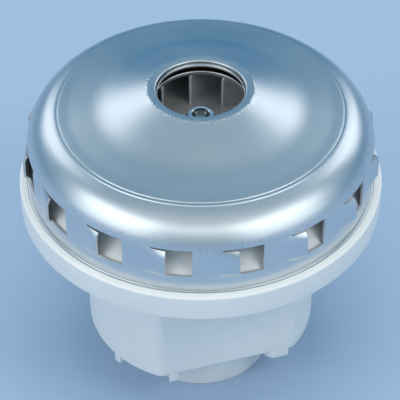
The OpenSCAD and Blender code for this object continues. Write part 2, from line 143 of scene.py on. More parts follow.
def mottled(name, c0, c1, metallic, r0, r1, spread, grain, depth, **kw):
    """Two close tones over a slow noise, a roughness that follows a finer one, and a fine grain as bump."""
    m = Mat(name, metallic, **kw)
    slow = m.noise(spread, 5, 0.6)
    m.colour(m.ramp(slow, 0.3, 0.7, c0, c1))
    fine = m.noise(grain, 3, 0.6)
    m.rough(m.fit(m.math("ADD", m.math("MULTIPLY", slow, 0.6), m.math("MULTIPLY", fine, 0.4)), 0.3, 0.7, r0, r1))
    m.bump(fine, depth, 0.6)
    return m


def scratched(m, amount, stretch, rot, low=0.68, high=0.74, tone=(0.9, 0.93, 0.95)):
    """A few thin handling marks: a stretched noise, cut off high, that lightens the finish."""
    lines = m.fit(m.noise(1.0, 2, 0.5, stretch, rot), low, high, 0.0, 1.0)
    patch = m.fit(m.noise(38, 2, 0.5), 0.5, 0.62, 0.0, 1.0)
    marks = m.math("MULTIPLY", m.math("MULTIPLY", lines, patch), amount)
    base = m.b.inputs["Base Color"].links[0].from_socket
    m.colour(m.mix(marks, base, tone))
    return marks


# drawn, zinc-bright sheet: satin, with a fine rolled grain, faint stains and a few marks
m = Mat("sheet_satin", 1.0)
slow = m.noise(26, 5, 0.6)
grain = m.noise(2600, 2, 0.5)
m.colour(m.ramp(slow, 0.28, 0.72, (0.63, 0.675, 0.70), (0.70, 0.73, 0.75)))
m.rough(m.fit(m.math("ADD", m.math("MULTIPLY", slow, 0.7), m.math("MULTIPLY", grain, 0.3)), 0.32, 0.68, 0.31, 0.38))
scratched(m, 0.55, (150, 3800, 3800), (0, 0, 0.6))
scratched(m, 0.4, (3600, 130, 3600), (0, 0, -0.35))
# short drawing marks where the shoulder runs out into the wall
xyz = m.node("ShaderNodeSeparateXYZ")
m.link(m.coord.outputs["Object"], xyz.inputs["Vector"])
band = m.math("MULTIPLY", m.fit(xyz.outputs["Z"], 0.1125, 0.1145, 0.0, 1.0), m.fit(xyz.outputs["Z"], 0.1165, 0.1195, 1.0, 0.0))
ticks = m.fit(m.noise(1.0, 2, 0.5, (1500, 1500, 380)), 0.60, 0.68, 0.0, 1.0)
draw = m.math("MULTIPLY", m.math("MULTIPLY", ticks, band), m.fit(m.noise(60, 2, 0.5), 0.44, 0.56, 0.0, 0.55))
m.colour(m.mix(draw, m.b.inputs["Base Color"].links[0].from_socket, (0.30, 0.35, 0.40)))
m.bump(grain, 0.000010, 0.14)
m.bump(m.noise(70, 2, 0.5), 0.00012, 0.08)
SHEET = m.mat

# the sheet's inside: rougher than the outside, its colour painted dark as shade for the gap seen through the windows
SHEET_INSIDE_SHADED = mottled("sheet_inside_painted_shade", (0.20, 0.205, 0.21), (0.27, 0.275, 0.28), 0.8, 0.42, 0.55, 60, 1800, 0.00002).mat

# its sheared edges: duller and paler; the paler tone also paints in the bright line that the cut edges catch
EDGE_AND_GLINT = mottled("sheet_cut_edge_and_glint", (0.58, 0.60, 0.615), (0.70, 0.715, 0.73), 0.45, 0.42, 0.58, 300, 2400, 0.00002).mat

# white glass-filled moulding: soft sheen, very slight mottle, fine spark texture
m = Mat("moulding_white", 0.0, ior=1.5)
slow = m.noise(34, 4, 0.55)
fine = m.noise(1500, 3, 0.6)
m.colour(m.ramp(slow, 0.3, 0.7, (0.805, 0.805, 0.785), (0.845, 0.845, 0.825)))
m.rough(m.fit(m.math("ADD", m.math("MULTIPLY", slow, 0.5), m.math("MULTIPLY", fine, 0.5)), 0.35, 0.65, 0.36, 0.46))
m.bump(fine, 0.00002, 0.30)
m.bump(m.noise(60, 2, 0.5), 0.00010, 0.12)
WHITE = m.mat

# the same moulding, painted paler where the cover hides it, as light reaching it through the windows
WHITE_PAINTED_BRIGHT = mottled("white_moulding_painted_bright", (0.905, 0.905, 0.895), (0.94, 0.94, 0.93), 0.0, 0.40, 0.50, 40, 1500, 0.00003).mat

# impeller sheet: dull rolled aluminium with fine lines from rolling
m = mottled("impeller_sheet", (0.42, 0.425, 0.43), (0.52, 0.525, 0.53), 0.55, 0.28, 0.42, 60, 900, 0.00002)
m.bump(m.noise(1.0, 2, 0.5, (200, 4000, 200), (0, 0, 0.4)), 0.000015, 0.4)
IMPELLER = m.mat

SHROUD = mottled("impeller_shroud", (0.66, 0.665, 0.67), (0.74, 0.745, 0.75), 1.0, 0.24, 0.34, 60, 900, 0.00002).mat
STEEL = mottled("turned_steel", (0.50, 0.51, 0.52), (0.60, 0.61, 0.62), 1.0, 0.22, 0.34, 120, 1800, 0.00001).mat
BRIGHT = mottled("nut_steel", (0.70, 0.72, 0.74), (0.80, 0.82, 0.84), 1.0, 0.09, 0.15, 150, 1500, 0.00001).mat
# shaft steel coloured dark; its domed end shows dark in the eye
DARK_SHAFT_STEEL = mottled("shaft_steel", (0.17, 0.175, 0.18), (0.22, 0.225, 0.23), 1.0, 0.09, 0.14, 150, 1500, 0.00001).mat
ZINC = mottled("fastener_zinc", (0.52, 0.54, 0.56), (0.66, 0.68, 0.69), 1.0, 0.24, 0.38, 400, 2600, 0.00002).mat
BEARING = mottled("ground_steel", (0.58, 0.59, 0.60), (0.66, 0.67, 0.68), 1.0, 0.12, 0.20, 90, 2200, 0.000006).mat
CAGE = mottled("cage_brass", (0.55, 0.38, 0.13), (0.66, 0.47, 0.18), 1.0, 0.26, 0.38, 200, 2000, 0.00001).mat
BRASS = mottled("brass", (0.60, 0.42, 0.15), (0.72, 0.52, 0.21), 1.0, 0.20, 0.32, 140, 1800, 0.00001).mat
BOBBIN = mottled("bobbin_nylon", (0.55, 0.48, 0.30), (0.62, 0.55, 0.36), 0.0, 0.40, 0.52, 80, 1200, 0.00002).mat
DARK = mottled("dark_moulding", (0.022, 0.022, 0.024), (0.038, 0.038, 0.040), 0.0, 0.38, 0.52, 70, 1100, 0.00003).mat
PHENOLIC = mottled("phenolic", (0.10, 0.045, 0.022), (0.15, 0.065, 0.032), 0.0, 0.32, 0.46, 160, 1400, 0.00002).mat
CARBON = mottled("carbon", (0.018, 0.018, 0.019), (0.040, 0.040, 0.042), 0.25, 0.45, 0.62, 500, 2600, 0.00003).mat
RUBBER = mottled("boot_rubber", (0.012, 0.012, 0.013), (0.022, 0.022, 0.023), 0.0, 0.55, 0.70, 90, 1500, 0.00003).mat
LEAD_RED = mottled("lead_red", (0.34, 0.022, 0.018), (0.42, 0.035, 0.028), 0.0, 0.36, 0.48, 120, 900, 0.00002).mat
LEAD_BLUE = mottled("lead_blue", (0.020, 0.045, 0.26), (0.030, 0.065, 0.34), 0.0, 0.36, 0.48, 120, 900, 0.00002).mat

# felt: matted short fibres
m = mottled("felt", (0.52, 0.49, 0.42), (0.66, 0.63, 0.55), 0.0, 0.85, 0.98, 220, 2600, 0.00015)
m.bump(m.noise(900, 5, 0.7), 0.0002, 0.8)
FELT = m.mat

# laminations: half-millimetre sheets stacked along the axis, blued and varnished
m = mottled("laminations", (0.16, 0.17, 0.19), (0.25, 0.26, 0.28), 0.8, 0.40, 0.58, 90, 1500, 0.00002)
w = m.node("ShaderNodeTexWave", wave_type="BANDS", bands_direction="Z", Scale=320.0, Distortion=0.4, Detail=2.0)
m.link(m.coord.outputs["Object"], w.inputs["Vector"])
m.bump(w.outputs["Fac"], 0.00008, 0.8)
LAMINATION = m.mat

# enamelled copper: close-laid turns
m = mottled("copper_wire", (0.42, 0.16, 0.06), (0.56, 0.23, 0.09), 0.9, 0.24, 0.38, 180, 1500, 0.00002, coat=0.4, coat_rough=0.15)
w = m.node("ShaderNodeTexWave", wave_type="RINGS", rings_direction="SPHERICAL", Scale=260.0, Distortion=1.5, Detail=2.0)
m.link(m.coord.outputs["Object"], w.inputs["Vector"])
m.bump(w.outputs["Fac"], 0.00018, 0.9)
COPPER = m.mat

BARS = mottled("commutator_copper", (0.60, 0.27, 0.13), (0.72, 0.36, 0.19), 1.0, 0.22, 0.36, 150, 2200, 0.00001).mat


# ------------------------------------------------------------------ mesh helpers
def finish_mesh(name, verts, faces, mat, body, nodes=(), angle=38, recalc=True, parts=None):
    """verts in millimetres. Smooth shaded, with edges sharper than the angle kept sharp."""
    me = bpy.data.meshes.new(name)
    me.from_pydata([(x * MM, y * MM, z * MM) for x, y, z in verts], [], faces)
    if recalc:
        bm = bmesh.new()
        bm.from_mesh(me)
        bmesh.ops.recalc_face_normals(bm, faces=bm.faces)
        bm.to_mesh(me)
        bm.free()
    me.update()
    return finish_object(name, me, mat, body, nodes, angle)


def finish_object(name, me, mat, body, nodes=(), angle=38):
    me.materials.clear()
    me.materials.append(mat)
    me.shade_smooth()
    if angle:
        me.set_sharp_from_angle(angle=math.radians(angle))
    ob = bpy.data.objects.new(name, me)
    scene.collection.objects.link(ob)
    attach(ob, body)
    if nodes:
        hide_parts(*nodes)
    return ob


def bevel(ob, width, segments=2, angle=40):
    b = ob.modifiers.new("edge", "BEVEL")
    b.width = width * MM
    b.segments = segments
    b.limit_method = "ANGLE"
    b.angle_limit = math.radians(angle)
    b.harden_normals = True
    b.use_clamp_overlap = True
    return b


def fillet(points, steps=5):
    """Closed (or open) outline of (x, y) or (x, y, radius); corners with a radius become arcs."""
    out = []
    n = len(points)
    for i, p in enumerate(points):
        r = p[2] if len(p) > 2 else 0
        if not r:
            out.append((p[0], p[1]))
            continue
        a, b, c = Vector(points[i - 1][:2]), Vector(p[:2]), Vector(points[(i + 1) % n][:2])
        u, v = (a - b), (c - b)
        lu, lv = u.length, v.length
        u.normalize(); v.normalize()
        half = math.acos(max(-1, min(1, u.dot(v)))) / 2
        d = min(r / math.tan(half), 0.49 * lu, 0.49 * lv)
        rr = d * math.tan(half)
        mid = (u + v).normalized() * (rr / math.sin(half))
        ctr = b + mid
        s, e = b + u * d - ctr, b + v * d - ctr
        a0 = math.atan2(s.y, s.x)
        da = math.atan2(e.y, e.x) - a0
        da = (da + math.pi) % (2 * math.pi) - math.pi
        for k in range(steps + 1):
            t = a0 + da * k / steps
            out.append((ctr.x + rr * math.cos(t), ctr.y + rr * math.sin(t)))
    return out


class Shape:
    """Collects several closed shells into one mesh."""

    def __init__(self):
        self.v, self.f = [], []

    def add(self, verts, faces, move=None):
        k = len(self.v)
        self.v += [tuple(move @ Vector(p)) if move else tuple(p) for p in verts]
        self.f += [tuple(i + k for i in f) for f in faces]

    def revolve(self, outline, n=128, move=None, closed=True):
        """Turns a closed outline of (r, z) about Z; points with r = 0 share one vertex."""
        vs, idx = [], []
        for r, z in outline:
            if r < 1e-9:
                idx.append([len(vs)] * n)
                vs.append((0, 0, z))
            else:
                idx.append(list(range(len(vs), len(vs) + n)))
                vs += [(r * math.cos(2 * math.pi * k / n), r * math.sin(2 * math.pi * k / n), z) for k in range(n)]
        fs = []
        m = len(outline)
        for i in range(m if closed else m - 1):
            a, b = idx[i], idx[(i + 1) % m]
            for k in range(n):
                q = [a[k], a[(k + 1) % n], b[(k + 1) % n], b[k]]
                q = [x for j, x in enumerate(q) if x not in q[:j]]
                if len(q) > 2:
                    fs.append(q)
        self.add(vs, fs, move)

    def prism(self, outline, z0, z1, c=0.0, move=None):
        """An extruded outline with its end edges eased by c."""
        rings = []
        ctr = Vector((sum(p[0] for p in outline) / len(outline), sum(p[1] for p in outline) / len(outline)))

        def inset(d):
            res = []
            n = len(outline)
            for i in range(n):
                a, b, e = (Vector(outline[(i + k) % n][:2]) for k in (-1, 0, 1))
                t1, t2 = (b - a).normalized(), (e - b).normalized()
                n1, n2 = Vector((t1.y, -t1.x)), Vector((t2.y, -t2.x))
                s = n1 + n2
                s = s / max(0.2, s.length_squared / 2)
                res.append((b.x - s.x * d, b.y - s.y * d))
            return res

        area = sum(outline[i - 1][0] * outline[i][1] - outline[i][0] * outline[i - 1][1] for i in range(len(outline)))
        sign = 1 if area > 0 else -1
        if c:
            for k in range(4):
                t = math.pi / 2 * k / 3
                rings.append((inset(sign * c * (1 - math.sin(t))), z0 + c * (1 - math.cos(t))))
            for k in range(4):
                t = math.pi / 2 * k / 3
                rings.append((inset(sign * c * (1 - math.cos(t))), z1 - c * (1 - math.sin(t))))
        else:
            rings = [(outline, z0), (outline, z1)]
        n = len(outline)
        vs = [(x, y, z) for o, z in rings for x, y in o]
        fs = [[i * n + k, i * n + (k + 1) % n, (i + 1) * n + (k + 1) % n, (i + 1) * n + k] for i in range(len(rings) - 1) for k in range(n)]
        fs += [list(range(n))[::-1], [(len(rings) - 1) * n + k for k in range(n)]]
        self.add(vs, fs, move)

    def block(self, x0, x1, y0, y1, z0, z1, r=0.4, c=0.3, move=None):
        self.prism(fillet([(x0, y0, r), (x1, y0, r), (x1, y1, r), (x0, y1, r)], 4), z0, z1, c, move)

    def tube(self, path, radius, sides=14, caps=True, move=None):
        pts = [Vector(p) for p in path]
        n = len(pts)
        tang = [(pts[min(i + 1, n - 1)] - pts[max(i - 1, 0)]).normalized() for i in range(n)]
        ref = Vector((0, 0, 1)) if abs(tang[0].z) < 0.9 else Vector((1, 0, 0))
        u = tang[0].cross(ref).normalized()
        vs = []
        for i in range(n):
            if i:
                q = tang[i - 1].rotation_difference(tang[i])
                u = (q @ u)
                u = (u - tang[i] * u.dot(tang[i])).normalized()
            w = tang[i].cross(u)
            vs += [tuple(pts[i] + (u * math.cos(2 * math.pi * k / sides) + w * math.sin(2 * math.pi * k / sides)) * radius) for k in range(sides)]
        fs = [[i * sides + k, i * sides + (k + 1) % sides, (i + 1) * sides + (k + 1) % sides, (i + 1) * sides + k] for i in range(n - 1) for k in range(sides)]
        if caps:
            fs += [list(range(sides))[::-1], [(n - 1) * sides + k for k in range(sides)]]
        self.add(vs, fs, move)


def smooth_path(points, per=6):
    """Catmull-Rom through the route's points."""
    p = [Vector(q) for q in points]
    p = [p[0] * 2 - p[1]] + p + [p[-1] * 2 - p[-2]]
    out = []
    for i in range(1, len(p) - 2):
        for k in range(per):
            t = k / per
            a, b, c, d = p[i - 1], p[i], p[i + 1], p[i + 2]
            out.append(0.5 * ((2 * b) + (c - a) * t + (2 * a - 5 * b + 4 * c - d) * t * t + (3 * b - a - 3 * c + d) * t ** 3))
    out.append(p[-2])
    return out


def spin(deg):
    return Matrix.Rotation(math.radians(deg), 4, "Z")


LOCAL = Matrix.Rotation(TURN, 4, "Z")


def smoothstep(x):
    x = max(0.0, min(1.0, x))
    return x * x * (3 - 2 * x)


def boolean(me_obj, cutter, op="DIFFERENCE"):
    """Cuts in place and returns a new mesh; both helpers are removed."""
    b = me_obj.modifiers.new("cut", "BOOLEAN")
    b.object, b.operation, b.solver = cutter, op, "EXACT"
    b.use_self = True                              # the shells of one shape may overlap
    dg = bpy.context.evaluated_depsgraph_get()
    me = bpy.data.meshes.new_from_object(me_obj.evaluated_get(dg))
    for o in (me_obj, cutter):
        old = o.data
        bpy.data.objects.remove(o)
        bpy.data.meshes.remove(old)
    return me


def temp(shape):
    me = bpy.data.meshes.new("temp")
    me.from_pydata([(x * MM, y * MM, z * MM) for x, y, z in shape.v], [], shape.f)
    bm = bmesh.new()
    bm.from_mesh(me)
    bmesh.ops.recalc_face_normals(bm, faces=bm.faces)
    bm.to_mesh(me)
    bm.free()
    ob = bpy.data.objects.new("temp", me)
    scene.collection.objects.link(ob)
    return ob


# ------------------------------------------------------------------ fan cover
def build_cover():
    R, RHO, T = 68.1, 16.0, 0.9
    CX = R - RHO
    CR, CZ = 55.9, 126.7
    end = math.acos((CR - CX) / RHO)
    SZ = CZ - RHO * math.sin(end)
    WZ0, WZ1 = 101.8, 114.3                        # window's lower and upper edge
    SLIT = WZ1 - 0.42                              # upper edge of the flap
    cols = [-18.37, -17.2, -16, -15, -14, -13, -12.2, -11.4, -10.6, -9.8, -9.0, -8.2, -7.5, -6.8, -6.1, -5.4, -4.8, -4.13,
            -3.5, -2.8, -2.0, -1.0, 0.0, 1.2, 2.4, 3.4]
    W_LEFT, W_RIGHT = -4.13, 4.13
    SLIT_END = -9.0

    def wall_r(z):
        return R if z <= SZ else CX + math.sqrt(max(0, RHO * RHO - (z - SZ) ** 2))

    rows = []                                      # (r, z, kind)
    rows += [(68.72, 94.26), (68.62, 94.30)]
    for k in range(5):                             # the hem's bend
        t = math.pi / 2 * k / 4
        rows.append((68.55 - 0.45 * math.sin(t), 94.75 - 0.45 * math.cos(t)))
    zs = [95.4, 96.4, 97.4, 98.4, 99.4, 100.2, 100.75, 101.25, WZ0, 102.3, 102.7, 103.1, 103.5, 103.9, 104.5, 105.4, 106.3, 107.2, 108.1, 108.9,
          109.6, 110.2, 110.7, 111.2, 111.65, 112.1, 112.55, 113.0, 113.42, SLIT, WZ1]
    first_wall = len(rows)
    rows += [(wall_r(z), z) for z in zs]
    i_low = first_wall + zs.index(WZ0)
    i_flap = first_wall + zs.index(SLIT)
    i_top = first_wall + zs.index(WZ1)
    a = math.asin((WZ1 - SZ) / RHO)
    tang_end = end - 5.4 / RHO
    n = 26
    for k in range(1, n + 1):
        t = a + (tang_end - a) * k / n
        rows.append((CX + RHO * math.cos(t), SZ + RHO * math.sin(t)))
    # two small pressed steps where the shoulder meets the cone: along the surface, then off it
    slope = 0.141
    ux, uz = -1 / math.hypot(1, slope), slope / math.hypot(1, slope)
    nx, nz = uz, -ux
    for s, h in ((-5.0, 0.0), (-4.2, -0.02), (-3.2, -0.06), (-2.2, -0.115), (-1.5, -0.155), (-1.2, -0.168), (-1.06, -0.16), (-0.96, -0.115), (-0.87, -0.03), (-0.78, 0.05), (-0.68, 0.09), (-0.55, 0.095),
                 (-0.35, 0.06), (-0.1, 0.005), (0.15, -0.055), (0.32, -0.09), (0.44, -0.085), (0.54, -0.03), (0.63, 0.06), (0.72, 0.14), (0.82, 0.175), (0.95, 0.18), (1.3, 0.17),
                 (2.0, 0.14), (3.0, 0.085), (4.0, 0.035), (5.0, 0.0)):
        if s < 0:                                  # still on the shoulder's arc
            t = end + s / RHO
            rows.append((CX + (RHO + h) * math.cos(t), SZ + (RHO + h) * math.sin(t)))
        else:
            rows.append((CR + ux * s + nx * h, CZ + uz * s + nz * h))
    # the top: nearly flat outside, steeper inside a soft knee, then the raised band round the eye
    r, z = rows[-1]
    while r > 21.4:
        d = min(1.1 if r < 33.5 or r > 45 else 0.55, r - 21.38)
        mid = r - d / 2
        z += d * (slope + (0.39 - slope) * smoothstep((44.4 - mid) / 10.5))
        r -= d
        rows.append((r, z))
    i_rim = len(rows)
    sharp = [(21.25, z + 0.03), (21.14, z + 0.09), (21.07, z + 0.20), (21.0, z + 0.32), (20.9, z + 0.40), (20.68, z + 0.44)]
    soft = [(21.3, z + 0.05), (21.12, z + 0.11), (20.92, z + 0.19), (20.7, z + 0.28), (20.45, z + 0.36), (20.25, z + 0.40)]
    rows += soft + [(20.0, z + 0.42), (19.5, z + 0.40), (18.9, z + 0.36), (18.4, z + 0.31)]
    # rolled over into the short collar, which tapers to a thin edge
    rows += [(17.85 - 0.66 * math.sin(math.radians(t)), z - 0.39 + 0.66 * math.cos(math.radians(t))) for t in (8, 20, 32, 44, 56, 68, 78)]
    rows += [(17.15, z - 0.6), (17.06, z - 1.0), (16.98, z - 1.4), (16.92, 134.5), (16.88, 134.3), (16.82, 134.21), (16.74, 134.18)]
    m = len(rows)

    ZB = 101.25                                    # the flap leaves the wall from here up

    def rise(a, z):
        if z < ZB or z > SLIT + 1e-6:
            return 0.0
        v = (z - ZB) / (SLIT - ZB)
        g = smoothstep(v / 0.20)
        x = min(1.0, (1 - v) / 0.30)
        g *= 0.30 + 0.70 * (1 - (1 - x) ** 2)
        if a <= W_LEFT:
            u = max(0.0, (a + 13.0) / (13.0 + W_LEFT))
            f = u ** 1.7
        else:
            f = 1 - smoothstep((a - W_LEFT) / 2.3)
        return 2.1 * f * g

    def ragged(th):
        """The eye's band was struck roughly: its outer edge wanders."""
        return 0.5 * math.sin(53 * th + 0.4) + 0.36 * math.sin(89 * th + 2.1) + 0.3 * math.sin(31 * th + 4.0)

    def crisp(th):
        """And is crisp only here and there."""
        return max(0.0, min(1.0, 0.12 + 0.9 * math.sin(23 * th + 1.1) * math.sin(41 * th + 0.3) + 0.35 * math.sin(97 * th + 2.0)))

    verts, index = [], []
    per = len(cols)
    for w in range(16):
        centre = -6.7 + 22.5 * w
        for a in cols:
            th = math.radians(centre + a)
            column = []
            for i, (r, z) in enumerate(rows):
                q = r + (rise(a, z) if first_wall <= i <= i_flap else 0.0)
                if i_rim <= i < i_rim + 6:
                    k, c = i - i_rim, crisp(th)
                    q = soft[k][0] * (1 - c) + sharp[k][0] * c + 0.12 * ragged(th)
                    z = soft[k][1] * (1 - c) + sharp[k][1] * c + 0.04 * ragged(th + 0.3) * k / 5
                column.append(len(verts))
                verts.append((q * math.sin(th), -q * math.cos(th), z))
            index.append(column)
    total = len(index)
    c_left = cols.index(W_LEFT)
    c_slit = cols.index(SLIT_END)
    faces = []
    for c in range(total):
        k = c % per
        nxt = index[(c + 1) % total]
        for i in range(m - 1):
            if k >= c_left and i_low <= i < i_top:
                continue                            # the window
            if c_slit <= k < c_left and i == i_flap:
                continue                            # the slit over the flap
            faces.append((index[c][i], nxt[i], nxt[i + 1], index[c][i + 1]))
    used = sorted({i for f in faces for i in f})
    remap = {v: k for k, v in enumerate(used)}
    ob = finish_mesh("fan_cover_shell", [verts[i] for i in used], [tuple(remap[i] for i in f) for f in faces], SHEET, "casing", ("fan_cover",), angle=0, recalc=False)
    s = ob.modifiers.new("sheet", "SOLIDIFY")
    s.thickness = T * MM
    s.offset = -1
    s.use_even_offset = False
    s.use_quality_normals = True
    # rims take the pale edge finish, partly a painted highlight
    ob.data.materials.append(EDGE_AND_GLINT)
    # the inside faces take the copy painted dark as shade
    ob.data.materials.append(SHEET_INSIDE_SHADED)
    s.material_offset_rim = 1
    s.material_offset = 2
    bevel(ob, 0.22, 3, 50)
    return ob


build_cover()


# ------------------------------------------------------------------ fan bracket with the flange ring
def build_bracket():
    s = Shape()
    prof = [(72.0, 83.5, 0.45), (72.0, 94.4, 1.0), (68.9, 94.4, 0.22), (68.9, 93.4, 0.15), (67.1, 93.4, 0.1), (67.1, 100.6, 0.8), (57.5, 110.5, 1.5), (8.7, 110.5, 0.3),
            (8.7, 102.0), (11.03, 102.0), (11.03, 94.2, 0.3), (15.5, 94.2, 0.5), (15.5, 107.9, 0.8), (56.3, 107.9, 1.2), (64.6, 99.7, 0.8), (64.6, 93.4, 0.6), (43.0, 93.4, 0.4), (43.0, 90.9, 0.4),
            (69.4, 90.9, 0.5), (69.4, 83.5, 0.4)]
    s.revolve(fillet(prof, 6), 224)
    rib = fillet([(15.0, 98.0, 0.4), (46.0, 93.0, 0.4), (65.8, 93.0), (65.8, 100.2), (56.9, 109.2), (15.0, 109.0)], 3)
    for k in range(8):
        s.prism(rib, -1.0, 1.0, 0.25, spin(22.5 + 45 * k) @ Matrix.Rotation(math.pi / 2, 4, "X"))
    for sx in (-1, 1):
        for sy in (-1, 1):
            s.revolve([(1.9, 89.0 + 2.0), (3.8, 91.0), (3.8, 109.0), (0, 109.0), (0, 103.0), (1.9, 103.0)], 40, LOCAL @ Matrix.Translation((20 * sx, 44 * sy, 0)))
        s.revolve(fillet([(1.3, 94.5, 0.2), (4.0, 94.5, 0.4), (4.0, 108.7), (0, 108.7), (0, 104.2), (1.3, 104.2)], 4), 40, LOCAL @ Matrix.Translation((18.5 * sx, 0, 0)))
    ob = finish_mesh("fan_bracket_moulding", s.v, s.f, WHITE, "casing", ("fan_bracket",), angle=32)
    # faces under the cover take the paler copy: painted light from the windows
    ob.data.materials.append(WHITE_PAINTED_BRIGHT)
    for f in ob.data.polygons:
        if math.hypot(f.center.x, f.center.y) < 67.5 * MM and f.center.z > 93.0 * MM:
            f.material_index = 1
    return ob


build_bracket()


# ------------------------------------------------------------------ motor housing
def build_housing():
    RH, FL, CORNER = 47.1, 37.5, 5.0
    # outline: two flats joined by two arcs, corners rounded; points listed with their outward direction
    yc = FL - CORNER
    rc = RH - CORNER
    xc = math.sqrt(rc * rc - yc * yc)              # centre of the corner's arc
    ac = math.atan2(yc, xc)
    slots = [-20.5, -15.5, -11.5, -6.5, -2.5, 2.5, 6.5, 11.5, 15.5, 20.5]
    quarter = []

    def arc_pts(cx, cy, r, a0, a1, n):
        return [((cx + r * math.cos(a0 + (a1 - a0) * k / n), cy + r * math.sin(a0 + (a1 - a0) * k / n)), (math.cos(a0 + (a1 - a0) * k / n), math.sin(a0 + (a1 - a0) * k / n))) for k in range(n)]

    out = []
    for side in (0, 1):
        rot = math.pi * side
        pts = []
        pts += arc_pts(0, 0, RH, -ac, ac, 36)                               # round side
        pts += arc_pts(xc, yc, CORNER, ac, math.pi / 2, 10)                 # corner
        xs = [xc, 24.5, 22.5] + [20.5, 18.8, 17.2, 15.5, 13.5, 11.5, 11.0, 8.2, 6.5, 4.5, 2.5, 0.8, -0.8, -2.5, -4.5, -6.5, -8.2, -11.0, -11.5, -13.5, -15.5, -17.2, -18.8, -20.5] + [-22.5, -24.5]
        pts += [((x, FL), (0.0, 1.0)) for x in xs]
        pts += arc_pts(-xc, yc, CORNER, math.pi / 2, math.pi - ac, 10)
        c, sn = math.cos(rot), math.sin(rot)
        for (x, y), (nx, ny) in pts:
            out.append(((x * c - y * sn, x * sn + y * c), (nx * c - ny * sn, nx * sn + ny * c)))
    # the second half's round side starts where the first half's last corner ends
    N = len(out)

    def ring_d(d, z):
        return [(p[0] + n[0] * d, p[1] + n[1] * d, z) for p, n in out]

    def ring_c(r, z):
        res = []
        for p, _ in out:
            h = math.hypot(*p)
            res.append((p[0] / h * r, p[1] / h * r, z))
        return res

    rings, tag = [], {}

    def put(ring, name=None):
        if name:
            tag[name] = len(rings)
        rings.append(ring)

    def quarter_turn(f, n=5):
        return [f(math.pi / 2 * k / n) for k in range(n + 1)]

    # outside, going up
    for t in range(6):
        q = math.pi / 2 * t / 5
        put(ring_d(-0.9 + 0.9 * math.sin(q), 21.0 + 0.9 * (1 - math.cos(q))))
    for z in (25, 28, 30.0, 39.0, 45, 52, 60, 68):
        put(ring_d(0, z), {30.0: "o30", 39.0: "o39"}.get(z))
    put(ring_d(0, 76.0), "o76")
    put(ring_d(0, 85.5), "o85")
    for t in range(6):
        q = math.pi / 2 * t / 5
        put(ring_d(1.6 - 1.6 * math.cos(q), 86.3 + 1.6 * math.sin(q)))
    for r, z in [(60.4, 87.9), (60.7, 87.98), (60.92, 88.2), (61.0, 88.5), (61.0, 90.3), (60.92, 90.6), (60.7, 90.82), (60.4, 90.9)]:
        put(ring_c(r, z))
    put(ring_d(-2.0, 90.9)); put(ring_d(-2.4, 90.78)); put(ring_d(-2.6, 90.3))
    put(ring_d(-2.6, 85.5), "i85")
    put(ring_d(-2.6, 76.0), "i76")
    for z in (68, 60, 52, 45, 39.0, 30.0, 28, 25.2):
        put(ring_d(-2.6, z), {30.0: "i30", 39.0: "i39"}.get(z))
    for t in range(1, 5):
        q = math.pi / 2 * t / 4
        put(ring_d(-2.6 - 1.2 * (1 - math.cos(q)), 25.2 - 1.2 * math.sin(q)))
    # floor, bore and collar
    for r, z in [(26.0, 24.0), (25.4, 23.88), (25.08, 23.5), (25.0, 23.0), (25.0, 12.0), (25.0, 0.9), (25.1, 0.45), (25.35, 0.12), (25.8, 0.0), (28.2, 0.0), (28.65, 0.12), (28.9, 0.45), (29.0, 0.9),
                 (29.0, 10.0), (29.0, 19.8), (29.1, 20.3), (29.4, 20.7), (29.9, 20.95), (30.5, 21.0)]:
        put(ring_c(r, z))
    M = len(rings)
    verts = [p for r in rings for p in r]
    xs = [p for p, _ in out]
    nrm = [n for _, n in out]

    def flat(k):
        return abs(nrm[k][1]) > 0.9999 and abs(nrm[(k + 1) % N][1]) > 0.9999

    def in_slot(k):
        if not flat(k):
            return False
        x = (xs[k][0] + xs[(k + 1) % N][0]) / 2
        return any(slots[i] < x < slots[i + 1] for i in range(0, 10, 2))

    def in_cut(k):
        if not flat(k) or nrm[k][1] < 0:
            return False
        return abs((xs[k][0] + xs[(k + 1) % N][0]) / 2) < 11.0

    faces = []
    for i in range(M):
        j = (i + 1) % M
        for k in range(N):
            l = (k + 1) % N
            if i in (tag["o76"], tag["i85"]) and in_slot(k):
                continue
            if i in (tag["o30"], tag["i39"]) and in_cut(k):
                continue
            faces.append((i * N + k, i * N + l, j * N + l, j * N + k))
    for lo, hi, ilo, ihi, test in (("o76", "o85", "i76", "i85", in_slot), ("o30", "o39", "i30", "i39", in_cut)):
        a, b, c, d = (tag[x] * N for x in (lo, hi, ilo, ihi))
        for k in range(N):
            l = (k + 1) % N
            if test(k):
                faces.append((a + k, a + l, c + l, c + k))
                faces.append((b + k, b + l, d + l, d + k))
            if test(k) != test(k - 1):
                faces.append((a + k, b + k, d + k, c + k))
    s = Shape()
    s.add(verts, faces, LOCAL)
    # hub cup and its ribs in the collar
    s.revolve(fillet([(0, 2.5), (16.5, 2.5, 1.0), (16.5, 14.5, 0.5), (13.03, 14.5, 0.4), (13.03, 4.5), (0, 4.5)], 5), 96)
    for k in range(4):
        s.block(15.9, 25.6, -1.5, 1.5, 3.0, 14.0, 0.3, 0.4, LOCAL @ spin(45 + 90 * k))
    # posts for the stator
    for sx in (-1, 1):
        for sy in (-1, 1):
            hole = [(1.95, 47.0), (1.95, 31.0), (0, 31.0)] if sx * sy > 0 else [(0, 47.0)]
            s.revolve([(0, 23.0), (3.2, 23.0), (3.2, 46.6), (2.9, 47.0)] + hole, 36, LOCAL @ Matrix.Translation((28.5 * sx, 28.5 * sy, 0)))
    # feet below the floor
    for t in (0, 180):
        f = LOCAL @ spin(t)
        s.block(-24.8, -21.2, -FL + 0.05, -FL + 2.2, 16.8, 22.4, 0.35, 0.35, f)
